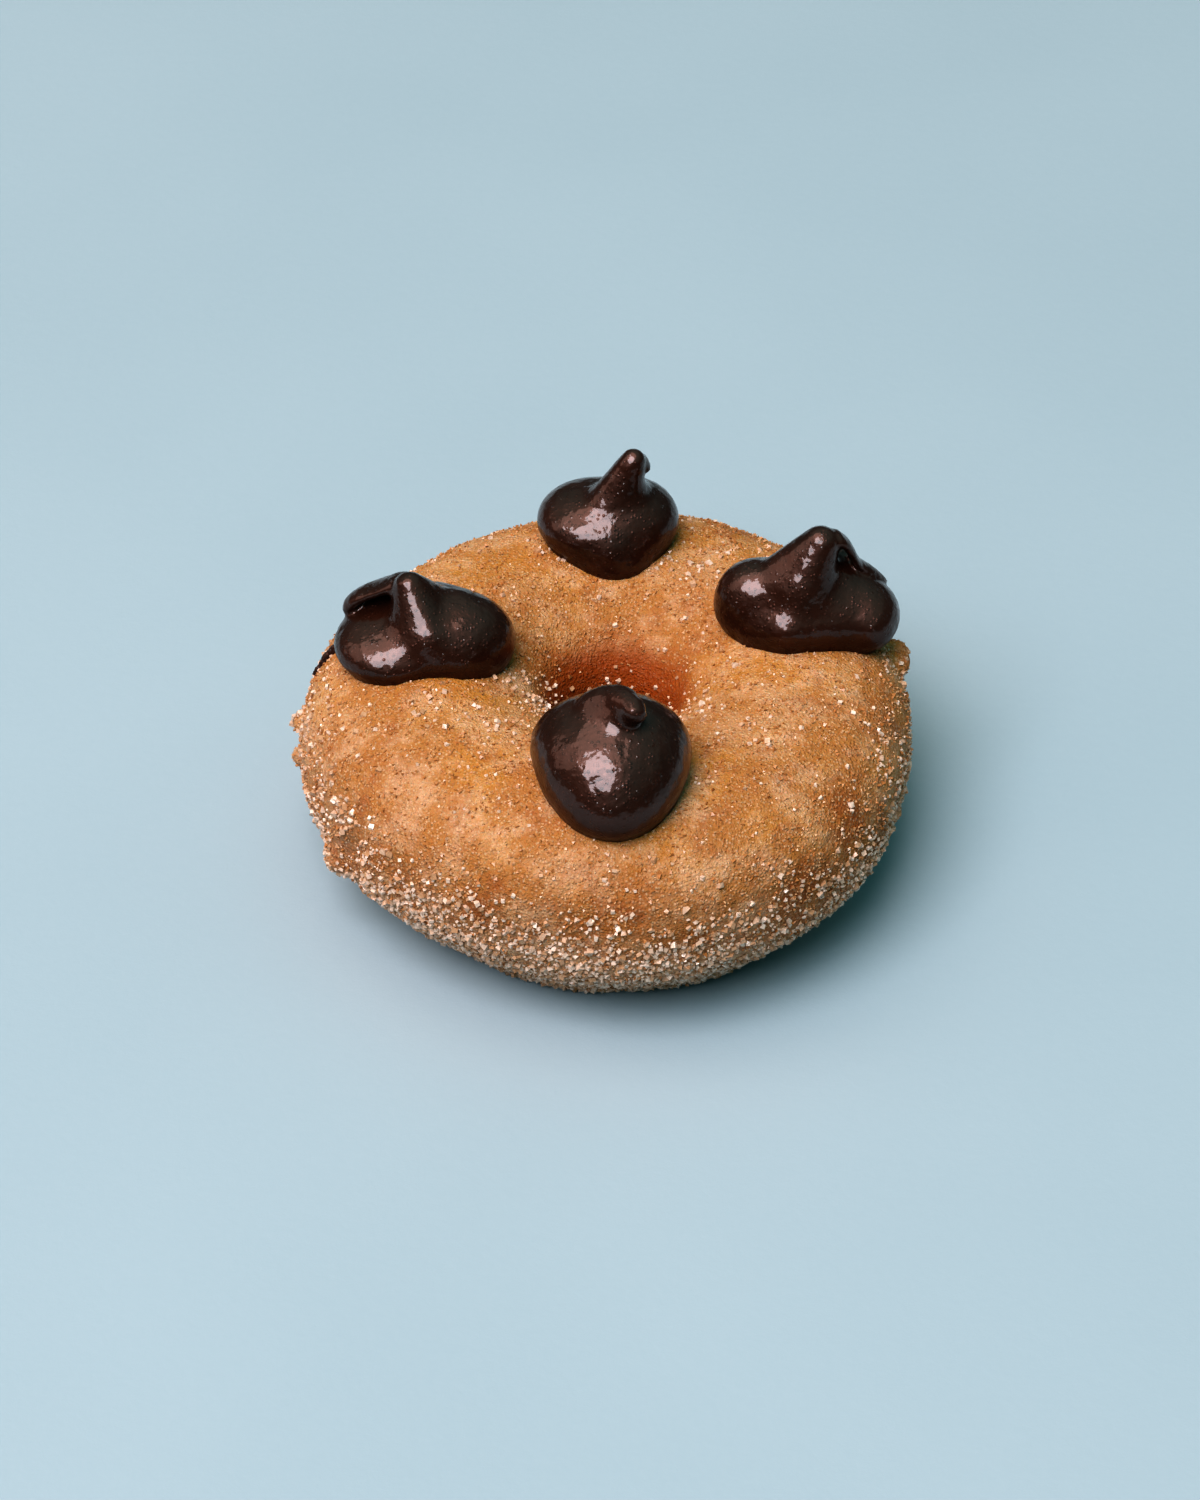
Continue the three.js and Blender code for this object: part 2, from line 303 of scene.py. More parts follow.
def noise(tree, place, size, detail=2.0, roughness=0.5):
    """Soft noise from 0 to 1, whose lumps are about one size across."""
    scale = calc(tree, "DIVIDE", 1.0, size)
    inputs = {"Vector": place, "Scale": scale, "Detail": detail, "Roughness": roughness}
    node = add(tree, "ShaderNodeTexNoise", inputs)
    return node.outputs[0]


def mixed(tree, share, first, second):
    """The first colour with a share of the second laid over it."""
    inputs = {"Factor": share, "A": first, "B": second}
    node = add(tree, "ShaderNodeMix", inputs, data_type="RGBA")
    return socket(node.outputs, "Result")


def coordinate(tree, place, axis):
    """One coordinate of a place."""
    node = tree.nodes.new("ShaderNodeSeparateXYZ")
    tree.links.new(place, node.inputs[0])
    return node.outputs[axis]


def distance(tree, place, point):
    """How far a place is from a point."""
    node = tree.nodes.new("ShaderNodeVectorMath")
    node.operation = "DISTANCE"
    tree.links.new(place, node.inputs[0])
    node.inputs[1].default_value = point
    return node.outputs["Value"]


def scaled(tree, vector, factor):
    """A vector times a number."""
    node = tree.nodes.new("ShaderNodeVectorMath")
    node.operation = "SCALE"
    tree.links.new(vector, node.inputs[0])
    tree.links.new(factor, node.inputs["Scale"])
    return node.outputs["Vector"]


def spots(tree, place, rows):
    """The value that a list of spots gives a place, where each spot's fades out to its own reach."""
    total = None
    for x, y, z, reach, value in rows:
        away = distance(tree, place, (x * MM, y * MM, z * MM))
        part = fade(tree, away, reach * MM, 0.0, 0.0, value)
        total = part if total is None else calc(tree, "MAXIMUM", total, part)
    return total


def band(tree, place, foot, top):
    """The sugared band around the foot, 1 below foot and 0 above top, with bare patches."""
    wander = calc(tree, "SUBTRACT", noise(tree, place, WANDER_WIDTH, 3.0), 0.5)
    height = calc(tree, "MULTIPLY_ADD", wander, WANDER_HEIGHT, coordinate(tree, place, "Z"))
    height = calc(tree, "MULTIPLY_ADD", coordinate(tree, place, "X"), BAND_TILT, height)
    covered = calc(tree, "SUBTRACT", 1.0, spots(tree, place, BARE_PATCHES))
    return calc(tree, "MULTIPLY", fade(tree, height, top, foot), covered)


def depth_in_throat(tree, place):
    """How far a place lies down the hole, from 0 on the crest to 1 at the narrowest part."""
    flat = add(tree, "ShaderNodeVectorMath", {}, operation="MULTIPLY_ADD")
    tree.links.new(place, flat.inputs[0])
    flat.inputs[1].default_value = (1, 1, 0)
    flat.inputs[2].default_value = (-HOLE_X, -HOLE_Y, 0)
    radius = tree.nodes.new("ShaderNodeVectorMath")
    radius.operation = "LENGTH"
    tree.links.new(flat.outputs["Vector"], radius.inputs[0])
    near = fade(tree, radius.outputs["Value"], THROAT_MOUTH, THROAT_WALL)
    low = fade(tree, coordinate(tree, place, "Z"), THROAT_TOP, THROAT_LOW)
    return calc(tree, "MULTIPLY", near, low)


def rgba(colour):
    """A colour with full opacity."""
    return (*colour, 1.0)


# Shared shader group

def grain_group():
    """Round grains set close together: the height of each, and a shade of its own."""
    if "grains" in bpy.data.node_groups:
        return bpy.data.node_groups["grains"]
    tree = bpy.data.node_groups.new("grains", "ShaderNodeTree")
    tree.interface.new_socket("Size", in_out="INPUT", socket_type="NodeSocketFloat")
    tree.interface.new_socket("Height", in_out="OUTPUT", socket_type="NodeSocketFloat")
    tree.interface.new_socket("Shade", in_out="OUTPUT", socket_type="NodeSocketFloat")
    entry = tree.nodes.new("NodeGroupInput")
    leave = tree.nodes.new("NodeGroupOutput")
    place = tree.nodes.new("ShaderNodeTexCoord").outputs["Object"]
    scale = calc(tree, "DIVIDE", 1.0, entry.outputs["Size"])
    cells = add(tree, "ShaderNodeTexVoronoi", {"Vector": place, "Scale": scale})
    height = fade(tree, cells.outputs["Distance"], 0.7, 0.05)
    tree.links.new(height, leave.inputs["Height"])
    tree.links.new(coordinate(tree, cells.outputs["Color"], "X"), leave.inputs["Shade"])
    return tree


def grains(tree, size):
    """The height and the shade of grains of one size."""
    node = tree.nodes.new("ShaderNodeGroup")
    node.node_tree = grain_group()
    node.inputs["Size"].default_value = size
    return node.outputs["Height"], node.outputs["Shade"]


# Materials

def new_material(name, **constants):
    """A new material with one Principled shader, its tree, the shader and the object coordinates."""
    material = bpy.data.materials.new(name)
    material.use_nodes = True
    tree = material.node_tree
    shader = tree.nodes["Principled BSDF"]
    for label, value in constants.items():
        shader.inputs[label.replace("_", " ")].default_value = value
    place = tree.nodes.new("ShaderNodeTexCoord").outputs["Object"]
    return material, tree, shader, place


def bumped(tree, target, heights):
    """Feeds a normal with one bump on top of the other: rows of height socket and depth."""
    normal = None
    for height, depth in heights:
        node = add(tree, "ShaderNodeBump", {"Height": height, "Distance": depth, "Strength": 1.0})
        if normal:
            tree.links.new(normal, node.inputs["Normal"])
        normal = node.outputs["Normal"]
    tree.links.new(normal, target)


def fried_colour(tree, place, settings):
    """Dough as it came out of the oil: gold and amber fields, brown patches and belly, a deep throat; the
    lower-right patches and the throat's dark red are partly painted shade.
    """
    fields = fade(tree, noise(tree, place, FIELD_WIDTH, 3.0), 0.42, 0.6)
    colour = mixed(tree, fields, rgba(settings.gold), rgba(settings.amber))
    clouds = fade(tree, noise(tree, place, CLOUD_WIDTH, 5.0, 0.65), 0.46, 0.72, 0.0, 0.8)
    colour = mixed(tree, clouds, colour, rgba(settings.cinnamon_dust))
    mottle = fade(tree, noise(tree, place, MOTTLE_WIDTH, 4.0, 0.65), 0.3, 0.62, 0.3)
    belly = fade(tree, coordinate(tree, place, "Z"), BELLY_TOP, BELLY_LOW, 0.0, 0.85)
    # The brown patches on the lower right are partly painted shade.
    fried = calc(tree, "MAXIMUM", belly, spots(tree, place, BROWN_PATCHES))
    colour = mixed(tree, calc(tree, "MULTIPLY", fried, mottle), colour, rgba(settings.brown))
    # Down the hole the dough turns to the throat colour: its fried colour with the hole's shade and
    # reddened bounce light painted in.
    return mixed(tree, depth_in_throat(tree, place), colour, rgba(settings.throat))


def sugared_share(tree, place):
    """How thickly sugar lies at a place: in the band, in the drifts, and in soft clouds all over."""
    frosted = spots(tree, place, SUGAR_DRIFTS + FROSTED_PATCHES)
    thick = calc(tree, "MAXIMUM", band(tree, place, VEIL_FOOT, VEIL_TOP), frosted)
    clouds = fade(tree, noise(tree, place, SUGAR_CLOUD_WIDTH, 4.0, 0.6), 0.42, 0.66, 0.0, 0.75)
    patchy = fade(tree, noise(tree, place, SUGAR_PATCH_WIDTH, 3.0, 0.6), 0.3, 0.6, 0.35, 1.0)
    return calc(tree, "MULTIPLY", calc(tree, "MAXIMUM", thick, clouds), patchy)


def veiled(tree, place, colour, open_air, settings):
    """A colour under the veil of sugar. The veil is thin in the throat and over the brown patches, where
    the dough fried darker and, on the lower right, shade is painted.
    """
    veil = calc(tree, "MULTIPLY", sugared_share(tree, place), calc(tree, "MULTIPLY", open_air, 0.8))
    # The veil thins over the brown patches; those on the lower right are painted shade.
    fried = calc(tree, "MULTIPLY", spots(tree, place, BROWN_PATCHES), 0.75)
    veil = calc(tree, "MULTIPLY", veil, calc(tree, "SUBTRACT", 1.0, fried))
    return mixed(tree, veil, colour, rgba(settings.sugared_dough_and_grain_highlight))


def grainy(tree, colour, open_air, grain, dust, settings):
    """A colour with pale grains on it whose middles carry a painted highlight, painted shade in the gaps
    between them, and a few dark flecks.
    """
    grain_height, grain_shade = grain
    dust_height, dust_shade = dust
    # Pale grains: some grains are pale sugar, and each grain's middle is lighter as a painted highlight.
    pale = calc(tree, "MULTIPLY", fade(tree, grain_shade, 0.35, 1.0, 0.0, 0.75), grain_height)
    # The painted highlight on the grains dims down the hole.
    pale = calc(tree, "MULTIPLY", pale, fade(tree, open_air, 0.0, 1.0, 0.2, 1.0))
    colour = mixed(tree, pale, colour, rgba(settings.sugared_dough_and_grain_highlight))
    # Painted shade toward brown in the low gaps between the grains.
    gap_shade = fade(tree, grain_height, 0.5, 0.0, 0.0, 0.22)
    gap_shade = calc(tree, "MULTIPLY", gap_shade, fade(tree, dust_shade, 0.2, 0.9))
    colour = mixed(tree, gap_shade, colour, rgba(settings.brown))
    flecks = fade(tree, dust_shade, 0.988, 0.992)
    flecks = calc(tree, "MULTIPLY", flecks, fade(tree, dust_height, 0.4, 0.7))
    return mixed(tree, flecks, colour, rgba(settings.fleck))


def crust_material(settings):
    """Fried dough under a skin of fine sugar grains and cinnamon dust."""
    material, tree, shader, place = new_material(
        "fried_crust", IOR=1.3, Subsurface_Weight=0.25, Subsurface_Radius=(1.0, 0.45, 0.2),
        Subsurface_Scale=1.2 * MM)
    open_air = calc(tree, "SUBTRACT", 1.0, depth_in_throat(tree, place))
    grain_height, grain_shade = grains(tree, settings.grain)
    dust_height, dust_shade = grains(tree, settings.grain * DUST_TO_GRAIN)
    colour = veiled(tree, place, fried_colour(tree, place, settings), open_air, settings)
    colour = grainy(
        tree, colour, open_air, (grain_height, grain_shade), (dust_height, dust_shade), settings)
    tree.links.new(colour, shader.inputs["Base Color"])
    tree.links.new(fade(tree, grain_shade, 0.0, 1.0, 0.8, 0.5), shader.inputs["Roughness"])
    crumb = noise(tree, place, CRUMB_WIDTH, 3.0, 0.55)
    heights = [(crumb, CRUMB_DEPTH), (grain_height, GRAIN_DEPTH), (dust_height, DUST_DEPTH)]
    bumped(tree, shader.inputs["Normal"], heights)
    return material


def chocolate_material(settings):
    """Set ganache: near black, a dull brown sheen under a clear gloss that fine bubbles break up."""
    material, tree, shader, place = new_material(
        "chocolate_ganache", Coat_Roughness=0.08, Coat_IOR=1.5, IOR=1.42,
        Specular_Tint=(1.0, 0.5, 0.4, 1.0))
    bubble_height, bubble_shade = grains(tree, settings.bubble)
    streaks = noise(tree, place, STREAK_WIDTH, 4.0, 0.6)
    colour = mixed(tree, fade(tree, streaks, 0.3, 0.7), rgba(settings.dark), rgba(settings.light))
    tree.links.new(colour, shader.inputs["Base Color"])
    tree.links.new(fade(tree, streaks, 0.3, 0.7, 0.45, 0.35), shader.inputs["Roughness"])
    raised = calc(tree, "MULTIPLY", bubble_height, fade(tree, bubble_shade, 0.6, 1.0))
    folds = noise(tree, place, FOLD_WIDTH, 2.0, 0.5)
    ripple = noise(tree, place, RIPPLE_WIDTH, 2.0, 0.5)
    beads = add(tree, "ShaderNodeTexVoronoi", {"Vector": place, "Scale": 1.0 / settings.bead})
    lone = fade(tree, coordinate(tree, beads.outputs["Color"], "X"), 0.55, 0.6)
    bead = calc(tree, "MULTIPLY", fade(tree, beads.outputs["Distance"], 0.3, 0.0), lone)
    heights = [(folds, FOLD_DEPTH), (ripple, RIPPLE_DEPTH)]
    bumped(tree, shader.inputs["Normal"], [*heights, (raised, BUBBLE_DEPTH)])
    bumped(tree, shader.inputs["Coat Normal"], [*heights, (bead, BEAD_DEPTH)])
    normal = tree.nodes.new("ShaderNodeNewGeometry").outputs["Normal"]
    upward = coordinate(tree, normal, "Z")
    tree.links.new(fade(tree, upward, -0.3, 0.3, 0.05, 0.8), shader.inputs["Coat Weight"])
    return material


def sugar_material(name, clean, tinged, clean_share, clearness):
    """Clear to milky sugar crystals, of which a share is clean and the rest more or less tinged."""
    material, tree, shader, place = new_material(name, IOR=1.5, Transmission_Weight=clearness)
    tint = tree.nodes.new("ShaderNodeAttribute")
    tint.attribute_name = "tint"
    dusty = fade(tree, tint.outputs["Fac"], clean_share, 1.0)
    colour = mixed(tree, dusty, rgba(clean), rgba(tinged))
    tree.links.new(colour, shader.inputs["Base Color"])
    frosted = noise(tree, place, FROST_WIDTH, 2.0)
    tree.links.new(fade(tree, frosted, 0.3, 0.7, 0.12, 0.4), shader.inputs["Roughness"])
    return material


def cinnamon_material(settings):
    """Ground cinnamon bark."""
    material, tree, shader, _ = new_material("ground_cinnamon")
    grain_height, grain_shade = grains(tree, BARK_WIDTH)
    colour = mixed(tree, grain_shade, rgba(settings.bark), rgba(settings.bark_light))
    tree.links.new(colour, shader.inputs["Base Color"])
    tree.links.new(fade(tree, grain_shade, 0.0, 1.0, 0.6, 0.9), shader.inputs["Roughness"])
    bumped(tree, shader.inputs["Normal"], [(grain_height, BARK_DEPTH)])
    return material


def floor_material(settings):
    """Pale blue paper with a faint tooth."""
    material, tree, shader, place = new_material("pale_paper")
    tooth = noise(tree, place, TOOTH_WIDTH, 4.0, 0.7)
    clouds = noise(tree, place, PAPER_CLOUD_WIDTH, 2.0)
    colour = mixed(tree, fade(tree, clouds, 0.3, 0.7), rgba(settings.floor), rgba(settings.floor_light))
    tree.links.new(colour, shader.inputs["Base Color"])
    tree.links.new(fade(tree, tooth, 0.3, 0.7, 0.85, 0.95), shader.inputs["Roughness"])
    bumped(tree, shader.inputs["Normal"], [(tooth, TOOTH_DEPTH)])
    return material


# Geometry Nodes

SOCKETS = {
    "length": "NodeSocketFloat",
    "share": "NodeSocketFloat",
    "seed": "NodeSocketInt",
    "material": "NodeSocketMaterial",
}


def geometry_tree(name, inputs):
    """An empty modifier tree with named inputs: returns it and its input and output nodes."""
    tree = bpy.data.node_groups.new(name, "GeometryNodeTree")
    tree.is_modifier = True
    tree.interface.new_socket("Geometry", in_out="INPUT", socket_type="NodeSocketGeometry")
    tree.interface.new_socket("Geometry", in_out="OUTPUT", socket_type="NodeSocketGeometry")
    for label, kind in inputs.items():
        tree.interface.new_socket(label, in_out="INPUT", socket_type=SOCKETS[kind])
    return tree, tree.nodes.new("NodeGroupInput"), tree.nodes.new("NodeGroupOutput")


def finish_tree(tree, entry, leave, geometry):
    """Ends a tree: instances made real, and the material set."""
    real = add(tree, "GeometryNodeRealizeInstances", {"Geometry": geometry})
    inputs = {"Geometry": real.outputs["Geometry"], "Material": entry.outputs["Material"]}
    painted = add(tree, "GeometryNodeSetMaterial", inputs)
    tree.links.new(painted.outputs["Geometry"], leave.inputs["Geometry"])


def relief_tree():
    """Lumps, crumb, pits and swells that push a smooth crust in and out, and leave its foot flat."""
    lengths = ["Lump Size", "Lump Height", "Crumb Size", "Crumb Height", "Pit Size", "Pit Depth", "Tuck"]
    inputs = {label: "length" for label in lengths}
    inputs["Material"] = "material"
    tree, entry, leave = geometry_tree("crust_relief", inputs)
    place = tree.nodes.new("GeometryNodeInputPosition").outputs[0]
    normal = tree.nodes.new("GeometryNodeInputNormal").outputs[0]
    lump = calc(tree, "SUBTRACT", noise(tree, place, entry.outputs["Lump Size"], 2.0), 0.5)
    crumb = calc(tree, "SUBTRACT", noise(tree, place, entry.outputs["Crumb Size"], 3.0, 0.6), 0.5)
    pit = fade(tree, noise(tree, place, entry.outputs["Pit Size"], 2.0), 0.66, 0.78)
    lift = calc(tree, "MULTIPLY", lump, entry.outputs["Lump Height"])
    lift = calc(tree, "MULTIPLY_ADD", crumb, entry.outputs["Crumb Height"], lift)
    lift = calc(tree, "SUBTRACT", lift, calc(tree, "MULTIPLY", pit, entry.outputs["Pit Depth"]))
    lift = calc(tree, "MULTIPLY_ADD", spots(tree, place, SWELLS), MM, lift)
    height = coordinate(tree, place, "Z")
    under = fade(tree, height, TUCK_TOP, TUCK_LOW)
    lift = calc(tree, "SUBTRACT", lift, calc(tree, "MULTIPLY", under, entry.outputs["Tuck"]))
    lift = calc(tree, "MULTIPLY", lift, fade(tree, height, RELIEF_LOW, RELIEF_TOP))
    moved = add(tree, "GeometryNodeSetPosition", {
        "Geometry": entry.outputs["Geometry"], "Offset": scaled(tree, normal, lift)})
    finish_tree(tree, entry, leave, moved.outputs["Geometry"])
    return tree


def random_number(tree, low, high, seed, kind="FLOAT"):
    """A random number or vector for each point."""
    node = add(tree, "FunctionNodeRandomValue", {"Min": low, "Max": high, "Seed": seed}, data_type=kind)
    return socket(node.outputs, "Value")


def block(tree):
    """A cube one across, for a sugar crystal."""
    return tree.nodes.new("GeometryNodeMeshCube").outputs["Mesh"]


def chip(tree):
    """A three-sided pyramid about one across, for the finest grains."""
    inputs = {"Vertices": 3, "Radius Top": 0.0, "Radius Bottom": 0.7, "Depth": 1.0}
    return add(tree, "GeometryNodeMeshCone", inputs).outputs["Mesh"]


def knocked(tree, grain, seed):
    """A grain with its corners knocked about, as an instance."""
    knock = random_number(tree, (-KNOCK,) * 3, (KNOCK,) * 3, seed, "FLOAT_VECTOR")
    moved = add(tree, "GeometryNodeSetPosition", {"Geometry": grain, "Offset": knock})
    single = add(tree, "GeometryNodeGeometryToInstance", {"Geometry": moved.outputs["Geometry"]})
    return single.outputs[0]


def scatter_density(tree, entry, place):
    """Where grains lie: thin all over, more in the band and the drifts, none under a drop or the foot."""
    clump = fade(tree, noise(tree, place, CLUMP_WIDTH, 3.0, 0.6), 0.38, 0.62)
    thin = calc(tree, "MULTIPLY", clump, entry.outputs["Everywhere"])
    thin = calc(tree, "MULTIPLY", thin, calc(tree, "SUBTRACT", 1.0, depth_in_throat(tree, place)))
    banded = calc(tree, "MULTIPLY", band(tree, place, GRAINS_FOOT, GRAINS_TOP), entry.outputs["Band"])
    banded = calc(tree, "MULTIPLY", banded, calc(tree, "MULTIPLY_ADD", clump, 0.45, 0.55))
    drifted = calc(tree, "MULTIPLY", spots(tree, place, SUGAR_DRIFTS), entry.outputs["Drifts"])
    drifted = calc(tree, "MULTIPLY", drifted, clump)
    total = calc(tree, "ADD", calc(tree, "ADD", thin, banded), drifted)
    bare = add(tree, "GeometryNodeInputNamedAttribute", {"Name": "bare"}, data_type="FLOAT")
    total = calc(tree, "MULTIPLY", total, socket(bare.outputs, "Attribute"))
    footless = fade(tree, coordinate(tree, place, "Z"), GRAINS_NONE, GRAINS_FULL)
    return calc(tree, "MULTIPLY", total, footless, clamp=True)


def strewn_points(tree, entry, place):
    """Points over the crust, one for each grain, raised by how proud the grains stand."""
    spacing = entry.outputs["Spacing"]
    crowd = calc(tree, "DIVIDE", 1.0, calc(tree, "MULTIPLY", spacing, spacing))
    points = add(tree, "GeometryNodeDistributePointsOnFaces", {}, distribute_method="POISSON")
    feed(tree, entry.outputs["Geometry"], socket(points.inputs, "Mesh"))
    feed(tree, spacing, socket(points.inputs, "Distance Min"))
    feed(tree, crowd, socket(points.inputs, "Density Max"))
    feed(tree, scatter_density(tree, entry, place), socket(points.inputs, "Density Factor"))
    feed(tree, entry.outputs["Seed"], socket(points.inputs, "Seed"))
    rise = calc(tree, "MULTIPLY", entry.outputs["Grain Size"], entry.outputs["Proud"])
    raised = add(tree, "GeometryNodeSetPosition", {
        "Geometry": points.outputs["Points"], "Offset": scaled(tree, points.outputs["Normal"], rise)})
    return raised.outputs["Geometry"]


def grain_kinds(tree, grain):
    """The kinds of one grain, each with its corners knocked about in its own way."""
    kinds = add(tree, "GeometryNodeJoinGeometry")
    for seed in KNOCK_SEEDS:
        tree.links.new(knocked(tree, grain(tree), seed), kinds.inputs[0])
    return kinds.outputs[0]


def grain_scale(tree, entry, seed):
    """The three sides of each grain."""
    share = random_number(tree, entry.outputs["Smallest"], entry.outputs["Largest"], seed)
    size = calc(tree, "MULTIPLY", share, entry.outputs["Grain Size"])
    shape = random_number(tree, (SHORTEST_SIDE,) * 3, (LONGEST_SIDE,) * 3, seed, "FLOAT_VECTOR")
    return scaled(tree, shape, size)


def scatter_tree(name, grain):
    """One kind of grain strewn over the crust, each at its own angle and size and partly sunk in."""
    tree, entry, leave = geometry_tree(name, {
        "Grain Size": "length", "Smallest": "share", "Largest": "share", "Spacing": "length",
        "Everywhere": "share", "Band": "share", "Drifts": "share", "Proud": "share",
        "Seed": "seed", "Material": "material"})
    place = tree.nodes.new("GeometryNodeInputPosition").outputs[0]
    seed = entry.outputs["Seed"]
    strewn = add(tree, "GeometryNodeInstanceOnPoints", {
        "Points": strewn_points(tree, entry, place),
        "Instance": grain_kinds(tree, grain),
        "Pick Instance": True,
        "Instance Index": random_number(tree, 0, len(KNOCK_SEEDS) - 1, seed, "INT"),
        "Rotation": random_number(tree, (0.0,) * 3, (math.tau,) * 3, seed, "FLOAT_VECTOR"),
        "Scale": grain_scale(tree, entry, seed)})
    tinted = add(tree, "GeometryNodeStoreNamedAttribute", {
        "Geometry": strewn.outputs["Instances"], "Name": "tint"}, data_type="FLOAT", domain="INSTANCE")
    feed(tree, random_number(tree, 0.0, 1.0, seed), socket(tinted.inputs, "Value"))
    finish_tree(tree, entry, leave, tinted.outputs["Geometry"])
    return tree


# Meshes

def new_object(name, mesh):
    """A mesh as an object in the scene."""
    piece = bpy.data.objects.new(name, mesh)
    bpy.context.scene.collection.objects.link(piece)
    return piece


def cad_copy(node):
    """The faces of a CAD node as one closed bmesh."""
    shape = bmesh.new()
    shape.from_mesh(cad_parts[node].data)
    bmesh.ops.remove_doubles(shape, verts=shape.verts, dist=WELD)
    return shape


def baked(piece):
    """Turns what a piece's modifiers make into its plain mesh."""
    graph = bpy.context.evaluated_depsgraph_get()
    shape = bpy.data.meshes.new_from_object(
        piece.evaluated_get(graph), preserve_all_data_layers=True, depsgraph=graph)
    rough = piece.data
    piece.modifiers.clear()
    piece.data = shape
    shape.name = piece.name
    bpy.data.meshes.remove(rough)
    return piece


def grown(name, shape, voxel, rounds):
    """A piece from a bmesh: an even skin of voxels, smoothed for some rounds."""
    mesh = bpy.data.meshes.new(name)
    shape.to_mesh(mesh)
    shape.free()
    piece = new_object(name, mesh)
    remesh = piece.modifiers.new("even_skin", "REMESH")
    remesh.mode = "VOXEL"
    remesh.voxel_size = voxel
    remesh.use_smooth_shade = True
    smooth = piece.modifiers.new("soften", "SMOOTH")
    smooth.factor = 0.5
    smooth.iterations = rounds
    return baked(piece)


def melted(piece, spot, rounds):
    """Smooths a piece around one spot for some rounds."""
    x, y, z, reach = spot
    away = np.linalg.norm(coordinates(piece.data) - np.array([x, y, z]) * MM, axis=1)
    shares = np.clip(2.0 - 2.0 * away / (reach * MM), 0.0, 1.0)
    group = piece.vertex_groups.new(name="melt")
    for index in np.flatnonzero(shares):
        group.add([int(index)], shares[index], "REPLACE")
    smooth = piece.modifiers.new("melt", "SMOOTH")
    smooth.factor = 0.5
    smooth.iterations = rounds
    smooth.vertex_group = group.name
    return baked(piece)


def run_tree(piece, tree, values):
    """Runs a tree on a piece with the values of its named inputs, and keeps the plain mesh."""
    modifier = piece.modifiers.new(tree.name, "NODES")
    modifier.node_group = tree
    for item in tree.interface.items_tree:
        if item.item_type == "SOCKET" and item.in_out == "INPUT" and item.name in values:
            modifier[item.identifier] = values[item.name]
    return baked(piece)


def coordinates(mesh):
    """A mesh's vertices as rows of x, y and z."""
    flat = np.empty(len(mesh.vertices) * 3, np.float32)
    mesh.vertices.foreach_get("co", flat)
    return flat.reshape(-1, 3)


def surface(piece):
    """A piece's faces, ready for finding the nearest and for casting rays."""
    shape = bmesh.new()
    shape.from_mesh(piece.data)
    tree = BVHTree.FromBMesh(shape)
    shape.free()
    return tree


def add_skin(shape, balls):
    """Adds the tight skin round balls of x, y, z and radius to a bmesh."""
    skin = bmesh.new()
    for *middle, radius in balls:
        place = Matrix.Translation(Vector(middle) * MM)
        bmesh.ops.create_icosphere(skin, subdivisions=3, radius=radius * MM, matrix=place)
    bmesh.ops.delete(skin, geom=skin.edges[:], context="EDGES_FACES")
    made = bmesh.ops.convex_hull(skin, input=skin.verts[:])
    inside = [item for item in made["geom_interior"] if isinstance(item, bmesh.types.BMVert)]
    bmesh.ops.delete(skin, geom=inside, context="VERTS")
    bmesh.ops.recalc_face_normals(skin, faces=skin.faces[:])
    mesh = bpy.data.meshes.new("skin")
    skin.to_mesh(mesh)
    skin.free()
    shape.from_mesh(mesh)
    bpy.data.meshes.remove(mesh)


def add_thread(shape, stops, sides=10):
    """Adds a round thread through stops of x, y, z and radius to a bmesh."""
    centres = [Vector(stop[:3]) * MM for stop in stops]
    rings = []
    for index, (centre, stop) in enumerate(zip(centres, stops)):
        ahead = centres[min(index + 1, len(stops) - 1)] - centres[max(index - 1, 0)]
        side = ahead.cross(Vector((0, 0, 1))).normalized()
        over = side.cross(ahead).normalized()
        turns = [math.tau * corner / sides for corner in range(sides)]
        spokes = [side * math.cos(turn) + over * math.sin(turn) for turn in turns]
        rings.append([shape.verts.new(centre + spoke * stop[3] * MM) for spoke in spokes])
    for first, second in zip(rings, rings[1:]):
        for corner in range(sides):
            after = (corner + 1) % sides
            shape.faces.new((first[corner], first[after], second[after], second[corner]))
    shape.faces.new(reversed(rings[0]))
    shape.faces.new(rings[-1])


def seat(piece, crust, reach, sink):
    """Pushes the underside of a drop, as far as it lies just over the crust, down into it."""
    for vertex in piece.data.vertices:
        point, outward, _, away = crust.find_nearest(vertex.co, reach)
        if point is not None:
            share = min(1.0, (reach - away) / (reach * SEAT_SLOPE))
            vertex.co -= outward * sink * share


def mark_bare(mesh, covers):
    """Stores 1 where the crust is open to the air, and 0 where a drop covers it."""
    bare = np.ones(len(mesh.vertices), np.float32)
    for index, vertex in enumerate(mesh.vertices):
        for cover in covers:
            _, normal, _, _ = cover.ray_cast(vertex.co, vertex.normal)
            if normal is not None and normal.dot(vertex.normal) > 0:
                bare[index] = 0.0
    attribute = mesh.attributes.new("bare", "FLOAT", "POINT")
    attribute.data.foreach_set("value", bare)


# Pieces

def make_crust(settings):
    """The ring's fried crust."""
    piece = grown("crust", cad_copy("ring"), settings.voxel, settings.smoothing)
    values = {
        "Lump Size": settings.lump_size, "Lump Height": settings.lump_height,
        "Crumb Size": settings.crumb_size, "Crumb Height": settings.crumb_height,
        "Pit Size": settings.pit_size, "Pit Depth": settings.pit_depth, "Tuck": settings.tuck,
        "Material": crust_material(settings),
    }
    run_tree(piece, relief_tree(), values)
    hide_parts("ring")
    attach(piece, "root")


